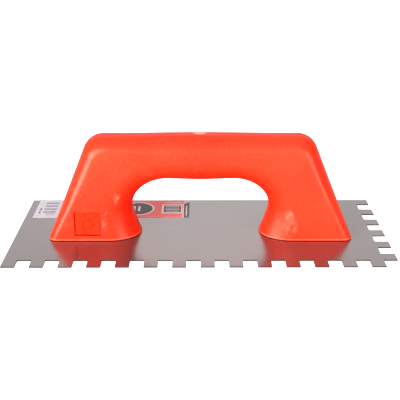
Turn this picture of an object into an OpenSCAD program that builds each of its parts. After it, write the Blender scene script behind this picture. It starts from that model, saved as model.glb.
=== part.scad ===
// Square-notched trowel with a closed two-foot handle.
// Millimetres. X runs along the blade, Y across it and Z up. The origin is on the underside of the
// blade, below its middle. The front edge is at -Y and the notched end at +X.

/* [Blade] */
// Length of the blade
blade_length = 280; // [260:10:320]
// Width of the blade, from the notched front edge to the plain rear edge
blade_width = 120; // [110:10:140]
// Thickness of the steel sheet
blade_thickness = 0.9; // [0.8:0.1:1.2]

/* [Notches] */
// Width and depth of each square notch, and width of each tooth
notch_size = 10; // [8:1:12]

/* [Handle profile] */
// Height of the top of the grip above the underside of the blade
handle_height = 78.8; // [77:0.2:81]
// Length of the handle over both feet
handle_length = 227.4; // [222:0.2:231]
// Lean of each foot's outer face from the vertical, in degrees
foot_lean = 22.5; // [20:0.1:24]
// Radius of the two upper corners
corner_radius = 15; // [11:0.5:16]
// Drop of the grip's top between its middle and its corners
top_crown = 0.8; // [0:0.1:1.6]
// Distance from the middle of the handle to the tip of each foot
toe_reach = 44.6; // [43:0.2:47]
// Distance from the middle of the handle to the narrowest place of each foot
neck_reach = 51.6; // [50:0.2:53]
// Height of the narrowest place of each foot
neck_height = 22.8; // [20:0.2:26]
// Height of the underside of the grip
grip_underside = 45.9; // [44:0.1:48]
// Half of the nearly straight length of the grip's underside
grip_straight = 25; // [20:1:28]
// Depth by which the grip's underside swells in its middle
grip_belly = 0.6; // [0:0.1:1]

/* [Handle section] */
// Width of each foot where it meets the blade
foot_width = 39.4; // [38:0.2:42]
// Width of the handle at the top of the grip; the faces run straight down to the feet
grip_width = 30; // [28:1:32]
// Rounding of the outer edge at the foot
foot_edge_radius = 6; // [5:0.5:7]
// Rounding of the upper edge of the grip, measured down its faces
grip_edge_height = 10.5; // [9:0.5:11.5]
// Flat strip along the top of the grip, on each side of the joint
grip_top_flat = 0.6; // [0.6:0.1:4]
// Wall thickness of the shells
wall = 3; // [2.4:0.2:3.2]
// Chamfer on both sides of the joint between the shells
seam_chamfer = 0.3; // [0.2:0.1:0.5]

/* [Screws] */
// Length of each screw
screw_length = 16; // [12:1:18]
// Diameter over the thread
thread_diameter = 3.5; // [3.2:0.1:3.8]
// Diameter of the countersunk head
head_diameter = 7; // [6.6:0.2:7.4]
// Distance between neighbouring threads
thread_pitch = 1.25; // [1.2:0.05:1.5]

/* [Label] */
// Length of the printed label along the rear edge
label_length = 125; // [110:5:125]
// Width of the label
label_width = 35; // [30:1:36]
// Thickness of the label
label_thickness = 0.15; // [0.1:0.05:0.2]

/* [Hidden] */
$fn = 48;
eps = 0.01;
overcut = 1;

// Blade and notches
tooth_pitch = 2 * notch_size;
front_teeth = floor(blade_length / tooth_pitch);
end_teeth = floor(blade_width / tooth_pitch);

// Outer profile of one foot, from its heel on the blade to the middle of the grip
half_length = handle_length / 2;
lean_dir = [sin(foot_lean), cos(foot_lean)];
corner_turn = 90 - foot_lean;
corner_setback = corner_radius * tan(corner_turn / 2);
shoulder_height = handle_height - top_crown;
heel = [-half_length, blade_thickness];
corner_x = -half_length + (shoulder_height - blade_thickness) * tan(foot_lean);
slope_end = [corner_x, shoulder_height] - corner_setback * lean_dir;
corner_centre = slope_end + corner_radius * [lean_dir.y, -lean_dir.x];
top_start = corner_x + corner_setback;
slope_run = norm(slope_end - heel);
corner_run = corner_radius * corner_turn * PI / 180;
outer_run = slope_run + corner_run - top_start;

// Stations along the handle, counted for one half
foot_stations = 8;
bend_stations = 24;
grip_stations = 5;
half_stations = foot_stations + bend_stations + grip_stations;
neck_run = (neck_height - blade_thickness) / cos(foot_lean);
bend_end_run = outer_run - grip_straight;
flare_power = 1.33;

// Roundings of the section, as a length along it and a length across the handle
foot_edge = [foot_edge_radius, foot_edge_radius];
grip_edge = [grip_edge_height, grip_width / 2 - grip_top_flat];
foot_toe = [24.3, 18.6];
grip_palm = [15.8, 13];
edge_steps = 4;
palm_steps = 8;
least_radius = 0.5;

// Ribs inside the shells
rib_thickness = 2;
rib_places = [-95, -78.5, -62, -44, -22, 0, 22, 44, 62, 78.5, 95];
rib_setback = 0.5;
rib_base = 4;
shelf_heights = [26, 50];
shelf_reach = 48;

// Screws, their bosses in the shells and their dimples in the blade
shank_radius = thread_diameter / 2 - 0.5;
screw_outer_x = 95;
screw_inner_x = 62;
screw_y = 9.5;
head_recess = 0.1;
head_rim = 0.25;
head_height = head_recess + head_rim + head_diameter / 2 - shank_radius;
thread_start = 3;
thread_tip = 3;
crest = 0.15;
pilot_radius = thread_diameter / 2 + 0.03;
clearance_radius = thread_diameter / 2 + 0.3;
seat_radius = head_diameter / 2 + 0.3;
seat_depth = seat_radius - clearance_radius;
dimple_height = 1.7;
dimple_radius = head_diameter / 2 + 1.2;
dimple_top_radius = clearance_radius + 1;
boss_radius = 5;
boss_top = 20;
boss_base = blade_thickness + dimple_height;
drive_width = 0.9;
drive_reach = 4;
drive_depth = 1.4;

// Locating pegs, each an X and a Z, that line the two shells up
peg_places = [[-78.5, 38], [-22, 61], [22, 61], [78.5, 38]];
peg_radius = 1.9;
peg_length = 4;
peg_boss_radius = 4;
socket_clearance = 0.1;
socket_depth = 5;

// Recessed panel on the front of the left foot, with a plain raised ring
panel_size = [19.5, 18.5];
panel_centre = [-83.8, 14.6];
panel_depth = 0.8;
ring_radius = 4.5;
ring_width = 1;
ring_height = 0.4;
face_draft = atan((foot_width - grip_width) / 2 / (handle_height - blade_thickness));

// Label
label_left = -134;
label_edge_gap = 1.5;
label_corner = 1.5;

steel = [0.63, 0.61, 0.59];
red = [1, 0.26, 0.15];
zinc = [0.75, 0.75, 0.72];
white = [0.95, 0.94, 0.93];

function mix(a, b, t) = a + (b - a) * t;
function smooth(t) = t * t * (3 - 2 * t);

// Point on the outer profile at a distance from the heel
function top_rise(x) = top_crown * pow(1 - pow(x / top_start, 2), 2);
function outer_at(run) =
    run < slope_run ? heel + run * lean_dir :
    run < slope_run + corner_run ? corner_point((run - slope_run) / corner_radius * 180 / PI) :
    top_point(top_start + run - slope_run - corner_run);
function corner_point(turn) = corner_centre + corner_radius * [-cos(foot_lean + turn), sin(foot_lean + turn)];
function top_point(x) = [x, shoulder_height + top_rise(x)];

// Point on the window side: the foot's flare, the bend and the grip's underside
function flare_point(t) = [
    -neck_reach + (neck_reach - toe_reach) * pow(1 - t, flare_power),
    mix(blade_thickness, neck_height, t)
];
function bend_point(t) = [
    -grip_straight - (neck_reach - grip_straight) * cos(90 * t),
    neck_height + (grip_underside - neck_height) * sin(90 * t)
];
function underside_point(t) = [
    -grip_straight * (1 - t),
    grip_underside - grip_belly * (1 - cos(180 * t)) / 2
];

// The two profile points of a station in the left half
function outer_point(i) = outer_at(
    i <= foot_stations ? neck_run * i / foot_stations :
    i <= foot_stations + bend_stations ? mix(neck_run, bend_end_run, (i - foot_stations) / bend_stations) :
    mix(bend_end_run, outer_run, (i - foot_stations - bend_stations) / grip_stations)
);
function inner_point(i) =
    i <= foot_stations ? flare_point(i / foot_stations) :
    i <= foot_stations + bend_stations ? bend_point((i - foot_stations) / bend_stations) :
    underside_point((i - foot_stations - bend_stations) / grip_stations);

// Section of the front half at a station. Each point has its distance along the section and either its
// depth behind the front face or, after an undef, its distance in front of the joint face. The section
// runs past the joint face, where it is cut off. An inset gives the cavity inside the wall.
function least(v, low) = [max(v.x, low), max(v.y, low)];
function edge_round(start, size) = [
    for (k = [0 : edge_steps])
        let (a = 90 * k / edge_steps) [start + size.x * (1 - cos(a)), size.y * (1 - sin(a))]
];
function palm_round(end, size) = [
    for (k = [0 : palm_steps])
        let (a = 90 * k / palm_steps) [end - size.x * (1 - sin(a)), size.y * (1 - cos(a))]
];
function section(length, edge, palm, inset) = concat(
    inset > 0 ? [[inset, undef, -overcut]] :
        [[seam_chamfer + overcut, undef, -overcut], [0, undef, seam_chamfer]],
    edge_round(inset, least(edge - [inset, inset], least_radius)),
    palm_round(length - inset, palm - [inset, inset]),
    inset > 0 ? [[length - inset, undef, -overcut]] :
        [[length, undef, seam_chamfer], [length - seam_chamfer - overcut, undef, -overcut]]
);

// Half of the handle's width at a height
function height_share(z) = (z - blade_thickness) / (handle_height - blade_thickness);
function half_width(z) = mix(foot_width, grip_width, height_share(z)) / 2;

// Points of one section in space. The cavity runs past the joint face and below the feet.
function ring(i, inset) =
    let (
        o = outer_point(i),
        n = inner_point(i),
        length = norm(n - o),
        dir = (n - o) / length,
        k = smooth((n.y - blade_thickness) / (grip_underside - blade_thickness)),
        drop = inset > 0 && i == 0 ? overcut : 0
    ) [
        for (p = section(length, mix(foot_edge, grip_edge, k), mix(foot_toe, grip_palm, k), inset))
            let (q = o + p.x * dir)
            [q.x, is_undef(p.y) ? -p.z : inset + p.y - half_width(q.y), q.y - drop]
    ];
function mirrored(points) = [for (p = points) [-p.x, p.y, p.z]];
function handle_rings(inset) = concat(
    [for (i = [0 : half_stations]) ring(i, inset)],
    [for (i = [half_stations - 1 : -1 : 0]) mirrored(ring(i, inset))]
);
function flatten(lists) = [for (list = lists) each list];
function swept_faces(count, sides) = concat(
    [[for (j = [0 : sides - 1]) j]],
    [
        for (i = [0 : count - 2])
            for (j = [0 : sides - 1])
                let (a = i * sides + j, b = i * sides + (j + 1) % sides)
                each [[a, a + sides, b + sides], [a, b + sides, b]]
    ],
    [[for (j = [sides - 1 : -1 : 0]) (count - 1) * sides + j]]
);

// Front half of the handle, or of the cavity in it when there is an inset
module half_handle(inset) {
    rings = handle_rings(inset);
    polyhedron(flatten(rings), swept_faces(len(rings), len(rings[0])), convexity = 6);
}

module both_feet() {
    children();
    mirror([1, 0, 0]) children();
}

// The four screw places of one shell, in front of the joint face
module at_screws() {
    for (x = [-screw_outer_x, -screw_inner_x, screw_inner_x, screw_outer_x])
        translate([x, -screw_y, 0]) children();
}
module at_pegs() {
    for (p = peg_places)
        translate([p.x, 0, p.y]) rotate([90, 0, 0]) children();
}

// What stands inside one shell: ribs, shelves in the feet, screw bosses and peg bosses
module stiffeners() {
    for (x = rib_places)
        translate([x - rib_thickness / 2, -foot_width / 2, rib_base])
            cube([rib_thickness, foot_width / 2 - rib_setback, handle_height]);
    both_feet()
        for (z = shelf_heights)
            translate([-half_length, -foot_width / 2, z])
                cube([half_length - shelf_reach, foot_width / 2 - rib_setback, rib_thickness]);
    at_screws() translate([0, 0, boss_base]) cylinder(r = boss_radius, h = boss_top - boss_base);
    at_pegs() translate([0, 0, -overcut]) cylinder(r = peg_boss_radius, h = foot_width / 2);
}

// One shell, as the front half: outer wall, stiffeners and screw bores
module plain_shell() {
    difference() {
        half_handle(0);
        difference() {
            half_handle(wall);
            stiffeners();
        }
        at_screws() translate([0, 0, boss_base - eps]) cylinder(r = pilot_radius, h = boss_top);
        translate([-handle_length, 0, -overcut]) cube([2 * handle_length, foot_width, 2 * handle_height]);
    }
}

// Places children on the sloping front face, with Z pointing out of it
module on_panel() {
    translate([panel_centre.x, -half_width(panel_centre.y), panel_centre.y])
        rotate([90 - face_draft, 0, 0])
            translate([0, 0, -panel_depth]) children();
}
module front_panel() {
    on_panel() translate([-panel_size.x / 2, -panel_size.y / 2, 0])
        cube([panel_size.x, panel_size.y, 2 * panel_depth]);
}
module panel_ring() {
    on_panel() translate([0, 0, -eps]) difference() {
        cylinder(r = ring_radius, h = ring_height);
        translate([0, 0, -1]) cylinder(r = ring_radius - ring_width, h = ring_height + 2);
    }
}

module handle_front_shell() {
    color(red) union() {
        difference() {
            plain_shell();
            front_panel();
        }
        panel_ring();
        at_pegs() translate([0, 0, -peg_length]) cylinder(r = peg_radius, h = peg_length + 1);
    }
}

module handle_rear_shell() {
    color(red) mirror([0, 1, 0]) difference() {
        plain_shell();
        at_pegs() translate([0, 0, -eps]) cylinder(r = peg_radius + socket_clearance, h = socket_depth);
    }
}

// Outline of the blade, with a notch beside each tooth and the shared corner left out
module blade_outline() {
    front = -blade_width / 2;
    left = -blade_length / 2;
    difference() {
        translate([left, front]) square([blade_length, blade_width]);
        for (i = [0 : front_teeth - 1])
            translate([left + i * tooth_pitch + notch_size, front - 1])
                square([i < front_teeth - 1 ? notch_size : blade_length, notch_size + 1]);
        for (j = [0 : end_teeth - 1])
            translate([-left - notch_size, -front - (j + 1) * tooth_pitch])
                square([notch_size + 1, notch_size]);
    }
}

module blade_dimples() {
    for (side = [0, 1])
        mirror([0, side, 0]) at_screws() children();
}

module blade() {
    color(steel) difference() {
        union() {
            linear_extrude(blade_thickness) blade_outline();
            blade_dimples() translate([0, 0, blade_thickness - eps])
                cylinder(r1 = dimple_radius, r2 = dimple_top_radius, h = dimple_height + eps);
        }
        blade_dimples() {
            translate([0, 0, -eps]) cylinder(r1 = seat_radius, r2 = clearance_radius, h = seat_depth);
            cylinder(r = clearance_radius, h = boss_top);
        }
    }
}

// Self-tapping countersunk screw, head down, with its axis on Z
thread_count = floor((screw_length - thread_start - thread_tip) / thread_pitch);
function thread_profile() = [
    for (k = [0 : thread_count - 1])
        let (z = thread_start + k * thread_pitch)
        each [[shank_radius, z], [thread_diameter / 2, z + thread_pitch / 2 - crest / 2],
              [thread_diameter / 2, z + thread_pitch / 2 + crest / 2]]
];
module screw() {
    color(zinc) difference() {
        rotate_extrude() polygon(concat(
            [[0, head_recess], [head_diameter / 2, head_recess], [head_diameter / 2, head_recess + head_rim]],
            [[shank_radius, head_height]],
            thread_profile(),
            [[shank_radius, screw_length - thread_tip], [0, screw_length]]
        ));
        for (turn = [45, 135])
            rotate(turn) translate([-drive_reach / 2, -drive_width / 2, -eps])
                cube([drive_reach, drive_width, head_recess + drive_depth]);
    }
}
module placed_screw(x_side, y_side, x) {
    translate([x_side * x, y_side * screw_y, 0]) screw();
}

module product_label() {
    color(white) translate([label_left, blade_width / 2 - label_edge_gap - label_width, blade_thickness])
        linear_extrude(label_thickness) union() {
            translate([label_corner, 0]) square([label_length - 2 * label_corner, label_width]);
            translate([0, label_corner]) square([label_length, label_width - 2 * label_corner]);
            for (x = [label_corner, label_length - label_corner])
                for (y = [label_corner, label_width - label_corner])
                    translate([x, y]) circle(label_corner);
        }
}

blade();
handle_front_shell();
handle_rear_shell();
product_label();
placed_screw(-1, -1, screw_outer_x);  // screw_left_front_outer
placed_screw(-1, -1, screw_inner_x);  // screw_left_front_inner
placed_screw(-1, 1, screw_outer_x);  // screw_left_rear_outer
placed_screw(-1, 1, screw_inner_x);  // screw_left_rear_inner
placed_screw(1, -1, screw_outer_x);  // screw_right_front_outer
placed_screw(1, -1, screw_inner_x);  // screw_right_front_inner
placed_screw(1, 1, screw_outer_x);  // screw_right_rear_outer
placed_screw(1, 1, screw_inner_x);  // screw_right_rear_inner
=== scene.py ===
import math

import bmesh
import bpy
from mathutils import Matrix, Vector


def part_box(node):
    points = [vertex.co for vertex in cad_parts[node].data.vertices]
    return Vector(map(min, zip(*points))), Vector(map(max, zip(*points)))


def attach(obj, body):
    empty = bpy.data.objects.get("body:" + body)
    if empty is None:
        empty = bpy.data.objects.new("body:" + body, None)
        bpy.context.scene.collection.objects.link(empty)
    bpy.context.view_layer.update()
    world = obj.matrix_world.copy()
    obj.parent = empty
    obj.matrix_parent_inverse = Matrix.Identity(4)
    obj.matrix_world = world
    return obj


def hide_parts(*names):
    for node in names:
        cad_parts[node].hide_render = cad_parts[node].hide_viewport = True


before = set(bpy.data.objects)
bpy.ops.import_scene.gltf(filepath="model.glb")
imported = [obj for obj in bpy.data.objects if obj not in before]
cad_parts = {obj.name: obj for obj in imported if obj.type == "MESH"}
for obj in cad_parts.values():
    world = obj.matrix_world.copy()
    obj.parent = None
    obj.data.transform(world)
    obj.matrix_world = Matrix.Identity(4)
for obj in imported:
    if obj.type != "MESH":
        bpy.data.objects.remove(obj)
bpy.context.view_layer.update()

# A square-notched trowel: a flat steel blade under a red two-shell handle, with a printed label along
# the blade's rear edge. Everything is in metres, in the frame of the CAD model: X along the blade,
# Y across it, Z up from its underside.

MM = 0.001
ROOT = "root"

# Sizes that the CAD model's own boxes give
BLADE_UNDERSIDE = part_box("blade")[0].z
SHELL_LOW, SHELL_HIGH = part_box("handle_front_shell")
LABEL_LOW, LABEL_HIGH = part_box("product_label")
BLADE_TOP = SHELL_LOW.z
HALF_LENGTH = SHELL_HIGH.x
HANDLE_TOP = SHELL_HIGH.z
FOOT_HALF_WIDTH = -SHELL_LOW.y

# Handle profile
GRIP_HALF_WIDTH = 15 * MM
FOOT_LEAN = math.radians(22.5)
CORNER_RADIUS = 15 * MM
TOP_CROWN = 0.8 * MM
TOE_REACH = 44.6 * MM
NECK_REACH = 51.6 * MM
NECK_HEIGHT = 22.8 * MM
GRIP_UNDERSIDE = 45.9 * MM
GRIP_STRAIGHT = 25 * MM
GRIP_BELLY = 0.6 * MM
FLARE_POWER = 1.33

# Handle section: roundings as a length along the section and a length across the handle
FOOT_EDGE = Vector((6 * MM, 6 * MM))
GRIP_EDGE = Vector((10.5 * MM, 14.4 * MM))
FOOT_TOE = Vector((24.3 * MM, 18.6 * MM))
GRIP_PALM = Vector((15.8 * MM, 13 * MM))
BASE_ROUND = 0.9 * MM
WALL = 3 * MM
SEAM_CHAMFER = 0.3 * MM

# Colours of the plastic: two that flow into each other, the fine mottle, the general wear, the pale
# patches that are partly rubbing and partly a painted highlight, the mark of the moulding gate, the
# painted highlight line at the foot's lower edge, and the painted shade at the feet's contact and in the
# panel's corners, also grime on the seam
RED_DEEP = (0.90, 0.048, 0.013)
RED_LIGHT = (0.94, 0.066, 0.022)
RED_MOTTLE = (0.95, 0.12, 0.055)
RED_WORN = (0.95, 0.24, 0.18)
RED_RUBBED_AND_HIGHLIGHT = (0.92, 0.34, 0.25)
RED_GATE = (0.95, 0.45, 0.27)
RED_EDGE_HIGHLIGHT = (0.95, 0.30, 0.22)
SHADE_AND_GRIME = (0.20, 0.007, 0.004)

# Where the painted shade and the seam grime sit: full as far as the first distance and gone at the
# second, measured up from the blade for the painted contact shade, out from the seam for the grime, and
# in from the walls of the recessed panel for its painted shade
FOOT_CONTACT_SHADE = (0.15 * MM, 0.7 * MM)
SEAM_GRIME = (0.15 * MM, 0.4 * MM)
PANEL_SHADE = (0.2 * MM, 1.3 * MM)

# The painted highlight line above the foot's lower edge: it fades in between the first two heights
# above the blade and out between the last two
EDGE_HIGHLIGHT_HEIGHTS = (0.6 * MM, 0.9 * MM, 1.2 * MM, 2 * MM)
EDGE_HIGHLIGHT_SHARE = 0.5

# Pale patches on the fronts of the feet, partly rubbed specks and partly a painted highlight on the toes:
# X, Z and radius, in millimetres. They are taller than wide.
RUB_AND_HIGHLIGHT_PATCHES = ((66, 20, 4.5), (67, 12.5, 6), (-71, 14, 3.5), (-70.4, 23.5, 2), (-61, 33, 3.5))
RUB_AND_HIGHLIGHT_SQUEEZE = (1, 0, 0.6)

# Oval mark of the moulding gate on top of the grip: its middle, just behind the seam, and its half sizes
GATE_MIDDLE = (-0.5 * MM, 1.8 * MM, HANDLE_TOP)
GATE_SIZE = (5.5 * MM, 4.5 * MM, 4 * MM)

# How finely the handle is divided
BASE_STATIONS = 5
FOOT_STATIONS = 20
BEND_STATIONS = 70
GRIP_STATIONS = 16
HALF_STATIONS = BASE_STATIONS + FOOT_STATIONS + BEND_STATIONS + GRIP_STATIONS
EDGE_STEPS = 12
PALM_STEPS = 14
FACE_STEPS = 6

# Recessed panel on the front of the left foot, with a plain raised ring
PANEL_WIDTH = 19.5 * MM
PANEL_HEIGHT = 18.5 * MM
PANEL_X = -83.8 * MM
PANEL_Z = 14.6 * MM
PANEL_DEPTH = 0.8 * MM
PANEL_SLOPE = 0.12 * MM
RING_RADIUS = 4 * MM
RING_THICKNESS = 0.5 * MM
RING_STEPS = 48
ROUND_STEPS = 12


# ---------------------------------------------------------------- small helpers

def mix(a, b, t):
    """The value a share t of the way from a to b."""
    return a + (b - a) * t


def smooth(t):
    """The share t eased at both ends."""
    return t * t * (3 - 2 * t)


def add_object(name, data):
    """A new object at the origin that shows a mesh, or is a light or a camera."""
    made = bpy.data.objects.new(name, data)
    bpy.context.scene.collection.objects.link(made)
    return made


def mesh_from(name, points, faces):
    mesh = bpy.data.meshes.new(name)
    mesh.from_pydata([tuple(p) for p in points], [], faces)
    mesh.validate()
    mesh.update()
    return mesh


def shade(mesh, angle=40):
    """Smooth shading that keeps edges sharper than the angle, in degrees."""
    mesh.polygons.foreach_set("use_smooth", [True] * len(mesh.polygons))
    mesh.set_sharp_from_angle(angle=math.radians(angle))


def face_outward(mesh):
    """Turns every face of a closed mesh outwards."""
    made = bmesh.new()
    made.from_mesh(mesh)
    bmesh.ops.recalc_face_normals(made, faces=made.faces)
    made.to_mesh(mesh)
    made.free()


def keep_modifiers(piece):
    """Applies the piece's modifiers to its mesh."""
    graph = bpy.context.evaluated_depsgraph_get()
    mesh = bpy.data.meshes.new_from_object(piece.evaluated_get(graph), depsgraph=graph)
    piece.modifiers.clear()
    piece.data = mesh


def combine(piece, tool, operation):
    """Cuts the tool from the piece, or joins it on, and removes the tool."""
    step = piece.modifiers.new(operation.lower(), "BOOLEAN")
    step.operation = operation
    step.solver = "EXACT"
    step.object = tool
    keep_modifiers(piece)
    bpy.data.objects.remove(tool)


# ---------------------------------------------------------------- node materials

class Surface:
    """A Principled material with short calls for the nodes that vary it over the object's own space,
    which is in metres."""

    def __init__(self, name, color, roughness, metallic=0.0):
        self.material = bpy.data.materials.new(name)
        self.material.use_nodes = True
        self.nodes = self.material.node_tree.nodes
        self.links = self.material.node_tree.links
        self.shader = self.nodes["Principled BSDF"]
        self.shader.inputs["Base Color"].default_value = (*color, 1)
        self.shader.inputs["Roughness"].default_value = roughness
        self.shader.inputs["Metallic"].default_value = metallic
        self.space = self.nodes.new("ShaderNodeTexCoord").outputs["Object"]

    def join(self, source, node, socket):
        self.links.new(source, node.inputs[socket])

    def vector(self, operation, source, value):
        """One vector operation between a node's output and a fixed vector."""
        node = self.nodes.new("ShaderNodeVectorMath")
        node.operation = operation
        self.join(source, node, 0)
        node.inputs[1].default_value = value
        return node.outputs[0]

    def distance(self, middle, scale):
        """The distance from a point, with the way there multiplied along each axis first."""
        node = self.nodes.new("ShaderNodeVectorMath")
        node.operation = "LENGTH"
        offset = self.vector("SUBTRACT", self.space, middle)
        self.join(self.vector("MULTIPLY", offset, scale), node, 0)
        return node.outputs["Value"]

    def noise(self, scale, detail=3.0, roughness=0.5, space=None):
        """Noise from 0 to 1, with about that many waves in a unit of the space."""
        node = self.nodes.new("ShaderNodeTexNoise")
        node.inputs["Scale"].default_value = scale
        node.inputs["Detail"].default_value = detail
        node.inputs["Roughness"].default_value = roughness
        self.join(space or self.space, node, "Vector")
        return node.outputs["Fac"]

    def ranged(self, source, low, high, new_low, new_high):
        """The source with low..high spread over new_low..new_high and held there."""
        node = self.nodes.new("ShaderNodeMapRange")
        node.inputs["From Min"].default_value = low
        node.inputs["From Max"].default_value = high
        node.inputs["To Min"].default_value = new_low
        node.inputs["To Max"].default_value = new_high
        self.join(source, node, "Value")
        return node.outputs["Result"]

    def math(self, operation, a, b=None):
        node = self.nodes.new("ShaderNodeMath")
        node.operation = operation
        for i, value in enumerate((a, b)):
            if value is None:
                continue
            if isinstance(value, (int, float)):
                node.inputs[i].default_value = value
            else:
                self.join(value, node, i)
        return node.outputs[0]

    def largest(self, sources):
        total = sources[0]
        for source in sources[1:]:
            total = self.math("MAXIMUM", total, source)
        return total

    def blended(self, factor, first, second):
        """A colour between two, where each is a colour or another node's output."""
        node = self.nodes.new("ShaderNodeMix")
        node.data_type = "RGBA"
        self.join(factor, node, 0)
        for socket, value in ((6, first), (7, second)):
            if isinstance(value, tuple):
                node.inputs[socket].default_value = (*value, 1)
            else:
                self.join(value, node, socket)
        return node.outputs[2]

    def part(self, vector, axis):
        """One of a vector's three parts, 0 for X, 1 for Y and 2 for Z."""
        node = self.nodes.new("ShaderNodeSeparateXYZ")
        self.join(vector, node, 0)
        return node.outputs[axis]

    def color(self, source):
        self.join(source, self.shader, "Base Color")

    def rough(self, source):
        self.join(source, self.shader, "Roughness")

    def bump(self, height, distance, strength=1.0):
        """Adds a bump whose height runs up to the distance, in metres, to any bump already there."""
        node = self.nodes.new("ShaderNodeBump")
        node.inputs["Strength"].default_value = strength
        node.inputs["Distance"].default_value = distance
        self.join(height, node, "Height")
        earlier = self.shader.inputs["Normal"].links
        if earlier:
            self.join(earlier[0].from_socket, node, "Normal")
        self.join(node.outputs["Normal"], self.shader, "Normal")


def plastic_wear(made):
    """Sparse fine scuffing in soft patches."""
    scuff = made.ranged(made.noise(110, detail=6, roughness=0.75), 0.54, 0.72, 0, 1)
    patch = made.ranged(made.noise(26, detail=1), 0.5, 0.7, 0.02, 0.3)
    return made.math("MULTIPLY", scuff, patch)


def rubbing_and_painted_highlight(made):
    """Pale specks in patches on the fronts of the feet: partly rubbing and partly a painted highlight on
    the toes.
    """
    speck = made.ranged(made.noise(260, detail=5, roughness=0.6), 0.42, 0.66, 0, 1)
    patches = []
    for x, z, radius in RUB_AND_HIGHLIGHT_PATCHES:
        distance = made.distance((x * MM, 0, z * MM), RUB_AND_HIGHLIGHT_SQUEEZE)
        patches.append(made.ranged(distance, 0, radius * MM, 0.7, 0))
    return made.math("MULTIPLY", made.largest(patches), speck)


def gate_mark(made):
    """The oval that the moulding gate left on top of the grip."""
    distance = made.distance(GATE_MIDDLE, [1 / size for size in GATE_SIZE])
    return made.ranged(distance, 0.75, 1.05, 0.8, 0)


def painted_edge_highlight(made):
    """A painted highlight: the pale line just above the foot's lower edge, where its rounding catches
    light.
    """
    height = made.math("SUBTRACT", made.part(made.space, 2), BLADE_TOP)
    fade_in = made.ranged(height, EDGE_HIGHLIGHT_HEIGHTS[0], EDGE_HIGHLIGHT_HEIGHTS[1], 0, EDGE_HIGHLIGHT_SHARE)
    fade_out = made.ranged(height, EDGE_HIGHLIGHT_HEIGHTS[2], EDGE_HIGHLIGHT_HEIGHTS[3], EDGE_HIGHLIGHT_SHARE, 0)
    return made.math("MINIMUM", fade_in, fade_out)


def contact_shade_and_seam_grime(made):
    """Painted contact shade where the feet meet the blade, and grime along the seam between the shells.
    """
    height = made.math("SUBTRACT", made.part(made.space, 2), BLADE_TOP)
    off_seam = made.math("ABSOLUTE", made.part(made.space, 1))
    foot = made.ranged(height, *FOOT_CONTACT_SHADE, 0.85, 0)
    seam = made.ranged(off_seam, *SEAM_GRIME, 0.6, 0)
    return made.math("MAXIMUM", foot, seam)


def painted_panel_shade(made):
    """Painted shade along the walls of the recessed panel, most of it on the left and at the bottom,
    where the walls shade the floor.
    """
    full, gone = PANEL_SHADE
    edges = []
    for axis, middle, half, low_share, high_share in (
        (0, PANEL_X, PANEL_WIDTH / 2, 0.95, 0.3),
        (2, PANEL_Z, PANEL_HEIGHT / 2, 0.85, 0.35),
    ):
        offset = made.math("SUBTRACT", made.part(made.space, axis), middle)
        for side, share in ((-1, low_share), (1, high_share)):
            reach = made.math("MULTIPLY", offset, side)
            edges.append(made.ranged(reach, half - gone, half - full, 0, share))
    return made.largest(edges)


def red_plastic(name="red_plastic", gloss=0.6, roughness=0.42, recessed=False):
    """Moulded polypropylene: saturated red, semi-gloss, with a fine skin, soft waves, flow marks, wear,
    pale patches that are partly rubbing and partly painted highlight, a painted highlight line and
    painted contact shade at the feet's lower edge, and grime along the seam. In the recessed panel the
    corners carry painted shade too."""
    made = Surface(name, RED_DEEP, roughness)
    flow = made.noise(14, detail=2)
    mottle = made.noise(520, detail=3, roughness=0.7)
    worn = plastic_wear(made)
    layers = [
        (made.ranged(mottle, 0.45, 0.75, 0, 0.4), RED_MOTTLE),
        (worn, RED_WORN),
        # Pale patches, partly rubbing and partly painted highlight
        (rubbing_and_painted_highlight(made), RED_RUBBED_AND_HIGHLIGHT),
        (gate_mark(made), RED_GATE),
        # Painted highlight line at the foot's lower edge
        (painted_edge_highlight(made), RED_EDGE_HIGHLIGHT),
    ]
    # Painted shade in the corners of the recessed panel
    if recessed:
        layers.append((painted_panel_shade(made), SHADE_AND_GRIME))
    # Painted contact shade at the feet, and grime along the seam
    layers.append((contact_shade_and_seam_grime(made), SHADE_AND_GRIME))
    tint = made.blended(made.ranged(flow, 0.35, 0.65, 0, 1), RED_DEEP, RED_LIGHT)
    for share, color in layers:
        tint = made.blended(share, tint, color)
    made.color(tint)
    uneven = made.ranged(flow, 0.3, 0.7, roughness - 0.05, roughness + 0.05)
    made.rough(made.math("ADD", uneven, made.math("MULTIPLY", worn, 0.5)))
    made.bump(made.noise(18, detail=1), 0.6 * MM, 0.35)
    made.bump(made.noise(60, detail=3), 0.12 * MM, 0.5)
    made.bump(made.noise(1400, detail=2), 0.03 * MM, 0.7)
    made.shader.inputs["Specular IOR Level"].default_value = gloss
    made.shader.inputs["Subsurface Weight"].default_value = 0.15
    made.shader.inputs["Subsurface Radius"].default_value = (1.0, 0.08, 0.03)
    made.shader.inputs["Subsurface Scale"].default_value = 4 * MM
    return made.material


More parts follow.
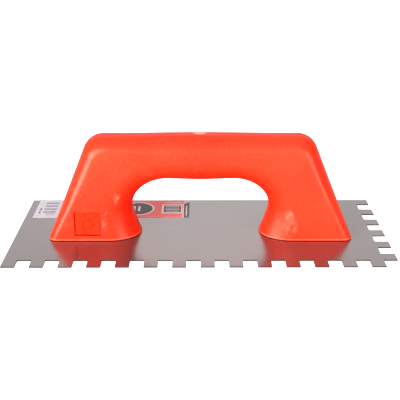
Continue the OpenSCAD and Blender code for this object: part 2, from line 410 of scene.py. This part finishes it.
def blade_steel():
    """Cold-rolled stainless sheet: smooth enough to mirror the handle, with fine lines along the sheet.
    The sheared edges are darker and rougher than the rolled faces."""
    dark = (0.275, 0.255, 0.253)
    light = (0.295, 0.272, 0.27)
    rolling_line = (0.25, 0.231, 0.23)
    sheared = (0.10, 0.096, 0.092)
    made = Surface("blade_steel", light, 0.24, metallic=0.65)
    along_sheet = made.vector("MULTIPLY", made.space, (30, 3600, 400))
    lines = made.noise(1, detail=4, roughness=0.6, space=along_sheet)
    cloud = made.noise(11, detail=3)
    rolled = made.blended(made.ranged(cloud, 0.3, 0.7, 0, 1), dark, light)
    rolled = made.blended(made.ranged(lines, 0.4, 0.75, 0, 0.22), rolled, rolling_line)
    geometry = made.nodes.new("ShaderNodeNewGeometry")
    upright = made.math("ABSOLUTE", made.part(geometry.outputs["True Normal"], 2))
    edge = made.ranged(upright, 0.3, 0.5, 1, 0)
    made.color(made.blended(edge, rolled, sheared))
    faces_roughness = made.ranged(lines, 0.3, 0.7, 0.22, 0.26)
    made.rough(made.math("ADD", faces_roughness, made.math("MULTIPLY", edge, 0.3)))
    made.bump(lines, 0.002 * MM, 0.4)
    return made.material


def screw_zinc():
    """Bright zinc plating with a faint mottle."""
    dark = (0.50, 0.50, 0.47)
    light = (0.68, 0.68, 0.67)
    made = Surface("screw_zinc", light, 0.3, metallic=1.0)
    mottle = made.noise(600, detail=3)
    made.color(made.blended(made.ranged(mottle, 0.35, 0.65, 0, 1), dark, light))
    made.rough(made.ranged(mottle, 0.3, 0.7, 0.24, 0.42))
    made.bump(mottle, 0.01 * MM, 0.4)
    return made.material


def printed(name, color, grain_color):
    """Ink or bare paper with a soft sheen, slightly uneven in colour and roughness."""
    made = Surface(name, color, 0.45)
    made.shader.inputs["Specular IOR Level"].default_value = 0.3
    grain = made.noise(700, detail=3)
    made.color(made.blended(made.ranged(grain, 0.35, 0.7, 0, 1), color, grain_color))
    made.rough(made.ranged(grain, 0.3, 0.7, 0.4, 0.5))
    made.bump(made.noise(160, detail=2), 0.03 * MM, 0.4)
    return made.material


# ---------------------------------------------------------------- handle shells

LEAN = Vector((math.sin(FOOT_LEAN), math.cos(FOOT_LEAN)))
CORNER_TURN = math.pi / 2 - FOOT_LEAN
SHOULDER = HANDLE_TOP - TOP_CROWN
HEEL = Vector((-HALF_LENGTH, BLADE_TOP))
CORNER_X = HEEL.x + (SHOULDER - BLADE_TOP) * math.tan(FOOT_LEAN)
SETBACK = CORNER_RADIUS * math.tan(CORNER_TURN / 2)
SLOPE_END = Vector((CORNER_X, SHOULDER)) - SETBACK * LEAN
CORNER_CENTRE = SLOPE_END + CORNER_RADIUS * Vector((LEAN.y, -LEAN.x))
TOP_START = CORNER_X + SETBACK
SLOPE_RUN = (SLOPE_END - HEEL).length
CORNER_RUN = CORNER_RADIUS * CORNER_TURN
OUTER_RUN = SLOPE_RUN + CORNER_RUN - TOP_START
NECK_RUN = (NECK_HEIGHT - BLADE_TOP) / LEAN.y
BEND_END_RUN = OUTER_RUN - GRIP_STRAIGHT


def outer_at(run):
    """Point on the outer profile, in X and Z, at a distance from the heel: slope, corner, crowned top."""
    if run < SLOPE_RUN:
        return HEEL + run * LEAN
    if run < SLOPE_RUN + CORNER_RUN:
        turn = FOOT_LEAN + (run - SLOPE_RUN) / CORNER_RADIUS
        return CORNER_CENTRE + CORNER_RADIUS * Vector((-math.cos(turn), math.sin(turn)))
    x = TOP_START + run - SLOPE_RUN - CORNER_RUN
    return Vector((x, SHOULDER + TOP_CROWN * (1 - (x / TOP_START) ** 2) ** 2))


def foot_point(t):
    """The outer and window-side profile points at a share t of the way up from the blade to the neck."""
    flare = (NECK_REACH - TOE_REACH) * (1 - t) ** FLARE_POWER
    return outer_at(NECK_RUN * t), Vector((-NECK_REACH + flare, mix(BLADE_TOP, NECK_HEIGHT, t)))


def station(i):
    """The outer and window-side profile points of a station in the left half, and how far the section
    is drawn in there by the rounding of the foot's lower edge."""
    base = BASE_ROUND / (NECK_HEIGHT - BLADE_TOP)
    if i < BASE_STATIONS:
        angle = math.pi / 2 * i / BASE_STATIONS
        return (*foot_point(base * (1 - math.cos(angle))), BASE_ROUND * (1 - math.sin(angle)))
    i -= BASE_STATIONS
    if i <= FOOT_STATIONS:
        return (*foot_point(mix(base, 1, i / FOOT_STATIONS)), 0)
    if i <= FOOT_STATIONS + BEND_STATIONS:
        t = (i - FOOT_STATIONS) / BEND_STATIONS
        angle = t * math.pi / 2
        inner = Vector((
            -GRIP_STRAIGHT - (NECK_REACH - GRIP_STRAIGHT) * math.cos(angle),
            NECK_HEIGHT + (GRIP_UNDERSIDE - NECK_HEIGHT) * math.sin(angle),
        ))
        return outer_at(mix(NECK_RUN, BEND_END_RUN, t)), inner, 0
    t = (i - FOOT_STATIONS - BEND_STATIONS) / GRIP_STATIONS
    belly = GRIP_BELLY * (1 - math.cos(math.pi * t)) / 2
    inner = Vector((-GRIP_STRAIGHT * (1 - t), GRIP_UNDERSIDE - belly))
    return outer_at(mix(BEND_END_RUN, OUTER_RUN, t)), inner, 0


def half_width(z):
    """Half the handle's width at a height: its front and rear faces lean in towards the top."""
    return mix(FOOT_HALF_WIDTH, GRIP_HALF_WIDTH, (z - BLADE_TOP) / (HANDLE_TOP - BLADE_TOP))


def rounded_section(length, edge, palm, inset):
    """Points of the front half of a section, as a distance along it and a depth behind the front face."""
    edge = edge - Vector((inset, inset))
    palm = palm - Vector((inset, inset))
    points = []
    for k in range(EDGE_STEPS + 1):
        a = math.pi / 2 * k / EDGE_STEPS
        points.append((inset + edge.x * (1 - math.cos(a)), inset + edge.y * (1 - math.sin(a))))
    face_start = inset + edge.x
    face_end = length - inset - palm.x
    points += [(mix(face_start, face_end, k / FACE_STEPS), inset) for k in range(1, FACE_STEPS)]
    for k in range(PALM_STEPS + 1):
        a = math.pi / 2 * k / PALM_STEPS
        points.append((length - inset - palm.x * (1 - math.sin(a)), inset + palm.y * (1 - math.cos(a))))
    return points


def shell_ring(i, side):
    """One closed ring of a shell: outside from seam to seam, then back along the inside of the wall."""
    outer, inner, inset = station(i)
    length = (inner - outer).length
    along = (inner - outer) / length
    k = smooth((inner.y - BLADE_TOP) / (GRIP_UNDERSIDE - BLADE_TOP))
    edge = FOOT_EDGE.lerp(GRIP_EDGE, k)
    palm = FOOT_TOE.lerp(GRIP_PALM, k)

    def at_seam(u, forward):
        spot = outer + u * along
        return Vector((spot.x, side * forward, spot.y))

    def at_depth(u, depth):
        spot = outer + u * along
        return Vector((spot.x, side * (half_width(spot.y) - depth), spot.y))

    end = length - inset
    ring = [at_seam(inset + SEAM_CHAMFER, 0), at_seam(inset, SEAM_CHAMFER)]
    ring += [at_depth(u, depth) for u, depth in rounded_section(length, edge, palm, inset)]
    ring += [at_seam(end, SEAM_CHAMFER), at_seam(end - SEAM_CHAMFER, 0)]
    ring.append(at_seam(length - WALL, 0))
    ring += [at_depth(u, depth) for u, depth in reversed(rounded_section(length, edge, palm, WALL))]
    ring.append(at_seam(WALL, 0))
    return ring


def shell_mesh(name, side):
    """A whole shell, in front of the seam for side -1 or behind it for side 1."""
    rings = [shell_ring(i, side) for i in range(HALF_STATIONS + 1)]
    for i in range(HALF_STATIONS - 1, -1, -1):
        rings.append([Vector((-p.x, p.y, p.z)) for p in rings[i]])
    count = len(rings[0])
    faces = [list(range(count)), [(len(rings) - 1) * count + j for j in range(count)]]
    for i in range(len(rings) - 1):
        for j in range(count):
            a = i * count + j
            b = i * count + (j + 1) % count
            faces.append([a, b, b + count, a + count])
    mesh = mesh_from(name, [p for ring in rings for p in ring], faces)
    face_outward(mesh)
    return mesh


def panel_frame():
    """Places things on the sloping front face of the left foot, with Z pointing out of it."""
    draft = math.atan((FOOT_HALF_WIDTH - GRIP_HALF_WIDTH) / (HANDLE_TOP - BLADE_TOP))
    place = Matrix.Translation((PANEL_X, -half_width(PANEL_Z), PANEL_Z))
    return place @ Matrix.Rotation(math.pi / 2 - draft, 4, "X")


def panel_cutter():
    """A shallow block whose walls slope in towards the panel's floor."""
    points = []
    for z, grow in ((-PANEL_DEPTH, -PANEL_SLOPE), (PANEL_DEPTH, PANEL_SLOPE)):
        x = PANEL_WIDTH / 2 + grow
        y = PANEL_HEIGHT / 2 + grow
        points += [(-x, -y, z), (x, -y, z), (x, y, z), (-x, y, z)]
    faces = [(3, 2, 1, 0), (4, 5, 6, 7), (0, 1, 5, 4), (1, 2, 6, 5), (2, 3, 7, 6), (3, 0, 4, 7)]
    cutter = add_object("panel_cutter", mesh_from("panel_cutter", points, faces))
    cutter.matrix_world = panel_frame()
    return cutter


def panel_ring():
    """A raised round-topped ring on the panel's floor."""
    points = []
    faces = []
    for i in range(RING_STEPS):
        turn = 2 * math.pi * i / RING_STEPS
        for j in range(ROUND_STEPS):
            angle = 2 * math.pi * j / ROUND_STEPS
            radius = RING_RADIUS + RING_THICKNESS * math.cos(angle)
            height = RING_THICKNESS * math.sin(angle) - PANEL_DEPTH
            points.append((radius * math.cos(turn), radius * math.sin(turn), height))
            a = i * ROUND_STEPS + j
            b = i * ROUND_STEPS + (j + 1) % ROUND_STEPS
            c = (i + 1) % RING_STEPS * ROUND_STEPS + (j + 1) % ROUND_STEPS
            d = (i + 1) % RING_STEPS * ROUND_STEPS + j
            faces.append((a, d, c, b))
    ring = add_object("panel_ring", mesh_from("panel_ring", points, faces))
    ring.matrix_world = panel_frame()
    return ring


def roughen_panel(mesh):
    """Gives the floor and walls of the recessed panel, and its ring, the second material."""
    to_panel = panel_frame().inverted()
    half_width_here = PANEL_WIDTH / 2 + PANEL_SLOPE
    half_height_here = PANEL_HEIGHT / 2 + PANEL_SLOPE
    for face in mesh.polygons:
        x, y, z = to_panel @ face.center
        within = abs(x) < half_width_here and abs(y) < half_height_here
        if within and -2 * PANEL_DEPTH < z < -0.1 * PANEL_DEPTH:
            face.material_index = 1


def make_shell(name, node, side, materials):
    """A shell that stands for its CAD node. With a second material, it has the recessed panel."""
    piece = add_object(name, shell_mesh(name, side))
    has_panel = len(materials) > 1
    if has_panel:
        combine(piece, panel_cutter(), "DIFFERENCE")
        combine(piece, panel_ring(), "UNION")
    shade(piece.data)
    piece.data.materials.clear()
    for material in materials:
        piece.data.materials.append(material)
    if has_panel:
        roughen_panel(piece.data)
    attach(piece, ROOT)
    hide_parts(node)


def make_handle():
    plastic = red_plastic()
    matte = red_plastic("red_plastic_matte", gloss=0.2, roughness=0.6, recessed=True)
    make_shell("front_shell", "handle_front_shell", -1, [plastic, matte])
    make_shell("rear_shell", "handle_rear_shell", 1, [plastic])


# ---------------------------------------------------------------- blade and screws

def set_material(piece, material):
    """Shows a CAD node in the material, and leaves its mesh alone."""
    for slot in piece.material_slots:
        slot.link = "OBJECT"
        slot.material = material


def make_blade():
    set_material(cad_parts["blade"], blade_steel())


def make_screws():
    zinc = screw_zinc()
    for name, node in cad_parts.items():
        if name.startswith("screw_"):
            set_material(node, zinc)


# ---------------------------------------------------------------- label

SHEET_HEIGHT = 0.12 * MM
INK_HEIGHT = 0.02 * MM
INK_LEVELS = 4
LABEL_LENGTH = (LABEL_HIGH.x - LABEL_LOW.x) / MM
LABEL_WIDTH = (LABEL_HIGH.y - LABEL_LOW.y) / MM
LABEL_CORNER = 0.6

# Paper and inks, each with the second colour that its grain has
INKS = (
    ("label_paper", (0.72, 0.69, 0.725), (0.65, 0.62, 0.66)),
    ("label_red", (0.96, 0.33, 0.33), (0.90, 0.28, 0.28)),
    ("label_grey", (0.18, 0.178, 0.185), (0.23, 0.225, 0.23)),
    ("label_pale", (0.95, 0.87, 0.86), (0.88, 0.79, 0.78)),
    ("label_soft_grey", (0.35, 0.34, 0.39), (0.42, 0.41, 0.46)),
)
PAPER, RED_INK, GREY_INK, PALE_INK, SOFT_INK = range(len(INKS))

# Layout of the print, in millimetres from the label's front left corner. A box is the X and Y of its
# front left corner and then of its rear right one.
RED_FIELD = (52, 0, 120.6, LABEL_WIDTH - 0.4)
BAR_MIDDLES = (11.4, 17.2, 23.3, 29.4)
BAR_HALF_HEIGHT = 1.4
BAR_START = 6.4
BAR_END = 16.6
FINE_LINE = (9, 6.8, 16, 7.6)
STROKES = ((3.2, 8.6, 4.4, 12.6), (3.2, 14.4, 4.4, 19))
OVAL_X = 83
OVAL_Y = 18
OVAL_BORDER = (13.6, 13.4)
OVAL_FIELD = (12, 11.6)
OVAL_STRIPES = ((79, 13, 81, 23), (83, 13, 85, 23))
OVAL_STEPS = 40
BLOCK_BORDER = (102.6, 8.5, 119, 26.4)
BLOCK_FIELD = (104.2, 10.6, 118.2, 24.2)
BLOCK_ROWS = [(105.6, 12.4 + 3 * k, 116.8, 13.4 + 3 * k) for k in range(4)]
BLOCK_CAPTION = (103.8, 29.8, 118.4, 31)
BAND_START = 120.6
BAND_REAR_LEFT = 27.6
BAND_REAR_RIGHT = 32
BAND_BORDER = 1.6
BAND_SIDE_BORDER = (119.6, 0, 120.6, 28.6)
BAND_STRIPE = (122.2, 4, 123.2, 24)


def flat_shape(made, outline, low, high, slot):
    """Adds an upright block whose outline is in millimetres from the label's front left corner."""
    ends = []
    for z in (low, high):
        ends.append([made.verts.new((LABEL_LOW.x + x * MM, LABEL_LOW.y + y * MM, z)) for x, y in outline])
    count = len(outline)
    faces = [made.faces.new(list(reversed(ends[0]))), made.faces.new(ends[1])]
    for j in range(count):
        k = (j + 1) % count
        faces.append(made.faces.new((ends[0][j], ends[0][k], ends[1][k], ends[1][j])))
    for face in faces:
        face.material_index = slot


def box_outline(x0, y0, x1, y1):
    return [(x0, y0), (x1, y0), (x1, y1), (x0, y1)]


def ring_outline(x, y, rx, ry, count):
    """A regular outline with that many corners round a point, the first one to the right."""
    turns = [2 * math.pi * k / count for k in range(count)]
    return [(x + rx * math.cos(a), y + ry * math.sin(a)) for a in turns]


def round_outline(x0, y0, x1, y1, radius, steps=4):
    """A box outline with rounded corners."""
    points = []
    corners = ((x1, y0, -90), (x1, y1, 0), (x0, y1, 90), (x0, y0, 180))
    for x, y, start in corners:
        cx = x - radius if x == x1 else x + radius
        cy = y - radius if y == y1 else y + radius
        for k in range(steps + 1):
            a = math.radians(start + 90 * k / steps)
            points.append((cx + radius * math.cos(a), cy + radius * math.sin(a)))
    return points


def bars_print():
    """The left end: four soft bars, a fine line in front of them and two strokes on their left."""
    shapes = [(box_outline(*FINE_LINE), 0, GREY_INK)]
    for y in BAR_MIDDLES:
        bar = box_outline(BAR_START, y - BAR_HALF_HEIGHT, BAR_END, y + BAR_HALF_HEIGHT)
        shapes.append((bar, 0, SOFT_INK))
    return shapes + [(box_outline(*stroke), 0, GREY_INK) for stroke in STROKES]


def oval_print():
    """A dark oval with a pale border and two pale stripes."""
    return [
        (ring_outline(OVAL_X, OVAL_Y, *OVAL_BORDER, OVAL_STEPS), 1, PALE_INK),
        (ring_outline(OVAL_X, OVAL_Y, *OVAL_FIELD, OVAL_STEPS), 2, GREY_INK),
    ] + [(box_outline(*stripe), 3, PALE_INK) for stripe in OVAL_STRIPES]


def block_print():
    """A dark block of pale rows with a pale border, and a pale line behind it."""
    return [
        (box_outline(*BLOCK_BORDER), 1, PALE_INK),
        (box_outline(*BLOCK_FIELD), 2, GREY_INK),
        (box_outline(*BLOCK_CAPTION), 1, PALE_INK),
    ] + [(box_outline(*row), 3, PALE_INK) for row in BLOCK_ROWS]


def band_print():
    """The dark band at the right end, cut at a slant, with a pale border on two sides and a stripe."""
    start = BAND_START
    end = LABEL_LENGTH
    left = BAND_REAR_LEFT
    right = BAND_REAR_RIGHT
    slant = [(start, left), (end, right), (end, right + BAND_BORDER), (start, left + BAND_BORDER)]
    return [
        ([(start, 0), (end, 0), (end, right), (start, left)], 0, GREY_INK),
        (slant, 0, PALE_INK),
        (box_outline(*BAND_SIDE_BORDER), 1, PALE_INK),
        (box_outline(*BAND_STRIPE), 1, PALE_INK),
    ]


def label_print():
    """Every printed shape as (outline, level, ink). Higher levels lie on lower ones."""
    red_field = [(box_outline(*RED_FIELD), 0, RED_INK)]
    return red_field + bars_print() + oval_print() + block_print() + band_print()


def make_label():
    made = bmesh.new()
    sheet_top = BLADE_TOP + SHEET_HEIGHT
    sheet = round_outline(0, 0, LABEL_LENGTH, LABEL_WIDTH, LABEL_CORNER)
    flat_shape(made, sheet, BLADE_TOP, sheet_top, PAPER)
    for outline, level, ink in label_print():
        top = sheet_top + INK_HEIGHT * (1 + level) / INK_LEVELS
        flat_shape(made, outline, sheet_top - INK_HEIGHT, top, ink)
    mesh = bpy.data.meshes.new("printed_label")
    made.to_mesh(mesh)
    made.free()
    piece = add_object("printed_label", mesh)
    for name, color, grain_color in INKS:
        mesh.materials.append(printed(name, color, grain_color))
    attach(piece, ROOT)
    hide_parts("product_label")


# ---------------------------------------------------------------- floor, lights and camera

FLOOR_HALF_SIZE = 12.0
FLOOR_GAP = 0.05 * MM

# How brightly the floor glows to the camera and in reflections, and how bright the walls are as a light
# and, on top of that, to the camera and in reflections
FLOOR_SEEN = 1.2
FLOOR_MIRRORED = 0.8
WALLS_AS_LIGHT = 0.12
WALLS_SEEN = 1.5
WALLS_MIRRORED = 0.65

# Softboxes: name, place and size in metres, power in watts, and whether shiny surfaces mirror it. They
# all face the middle of the tool.
AIM = Vector((0, 0, 0.04))
SOFTBOXES = (
    ("left_softbox", (-0.95, -1.0, 0.14), (1.0, 0.8), 36, True),
    ("right_softbox", (0.8, -1.1, 0.14), (0.4, 0.3), 7, True),
    ("front_softbox", (-0.1, -1.4, 0.8), (3.0, 1.6), 26, False),
    ("top_softbox", (0, 0, 1.5), (2.0, 2.0), 10, True),
    ("back_softbox", (0, 2.2, 1.05), (3.0, 1.2), 7.2, True),
    ("back_middle_softbox", (0, 2.3, 1.05), (0.9, 1.2), 1.0, True),
)

CAMERA_PLACE = (-0.0016, -0.5285, 0.2478)
CAMERA_TILT = math.radians(67.24)
CAMERA_TURN = math.radians(-0.14)
LENS_MM = 68.15
SENSOR_MM = 36
NEAREST = 0.01
EXPOSURE = -0.6


def make_floor():
    """A plain pale floor that also glows, so that it is white to the camera and pale in reflections."""
    corners = ((-1, -1), (1, -1), (1, 1), (-1, 1))
    points = [(x * FLOOR_HALF_SIZE, y * FLOOR_HALF_SIZE, 0) for x, y in corners]
    mesh = mesh_from("floor", points, [(0, 1, 2, 3)])
    floor = add_object("floor", mesh)
    floor.location.z = BLADE_UNDERSIDE - FLOOR_GAP
    dark = (0.44, 0.44, 0.44)
    light = (0.46, 0.46, 0.46)
    paper = Surface("floor_paper", light, 0.9)
    paper.color(paper.blended(paper.noise(4, detail=2), dark, light))
    paper.shader.inputs["Emission Color"].default_value = (1, 1, 1, 1)
    path = paper.nodes.new("ShaderNodeLightPath")
    seen = paper.math("MULTIPLY", path.outputs["Is Camera Ray"], FLOOR_SEEN)
    mirrored = paper.math("MULTIPLY", path.outputs["Is Glossy Ray"], FLOOR_MIRRORED)
    paper.join(paper.math("ADD", seen, mirrored), paper.shader, "Emission Strength")
    mesh.materials.append(paper.material)


def add_softbox(name, place, size, power, mirrored):
    """A rectangular light that faces the tool. One that isn't mirrored lights the tool but doesn't show
    in its shiny surfaces."""
    light = bpy.data.lights.new(name, "AREA")
    light.shape = "RECTANGLE"
    light.size = size[0]
    light.size_y = size[1]
    light.energy = power
    lamp = add_object(name, light)
    lamp.visible_glossy = mirrored
    lamp.location = place
    lamp.rotation_euler = (AIM - Vector(place)).to_track_quat("-Z", "Y").to_euler()


def make_world():
    """White walls all round: full white to the camera, grey in reflections and dim as a light."""
    world = bpy.data.worlds.new("studio")
    bpy.context.scene.world = world
    world.use_nodes = True
    nodes = world.node_tree.nodes
    links = world.node_tree.links
    background = nodes["Background"]
    background.inputs["Color"].default_value = (1, 1, 1, 1)
    path = nodes.new("ShaderNodeLightPath")
    strength = None
    for ray, extra in (("Is Camera Ray", WALLS_SEEN), ("Is Glossy Ray", WALLS_MIRRORED)):
        step = nodes.new("ShaderNodeMath")
        step.operation = "MULTIPLY_ADD"
        links.new(path.outputs[ray], step.inputs[0])
        step.inputs[1].default_value = extra
        step.inputs[2].default_value = WALLS_AS_LIGHT
        if strength:
            links.new(strength, step.inputs[2])
        strength = step.outputs[0]
    links.new(strength, background.inputs["Strength"])


def make_lights():
    for name, place, size, power, mirrored in SOFTBOXES:
        add_softbox(name, place, size, power, mirrored)


def make_camera():
    lens = bpy.data.cameras.new("camera")
    lens.sensor_width = SENSOR_MM
    lens.lens = LENS_MM
    lens.clip_start = NEAREST
    camera = add_object("camera", lens)
    camera.location = CAMERA_PLACE
    camera.rotation_euler = (CAMERA_TILT, 0, CAMERA_TURN)
    bpy.context.scene.camera = camera


def set_tones():
    view = bpy.context.scene.view_settings
    view.view_transform = "Standard"
    view.look = "Very High Contrast"
    view.exposure = EXPOSURE


make_handle()
make_blade()
make_screws()
make_label()
make_floor()
make_world()
make_lights()
make_camera()
set_tones()
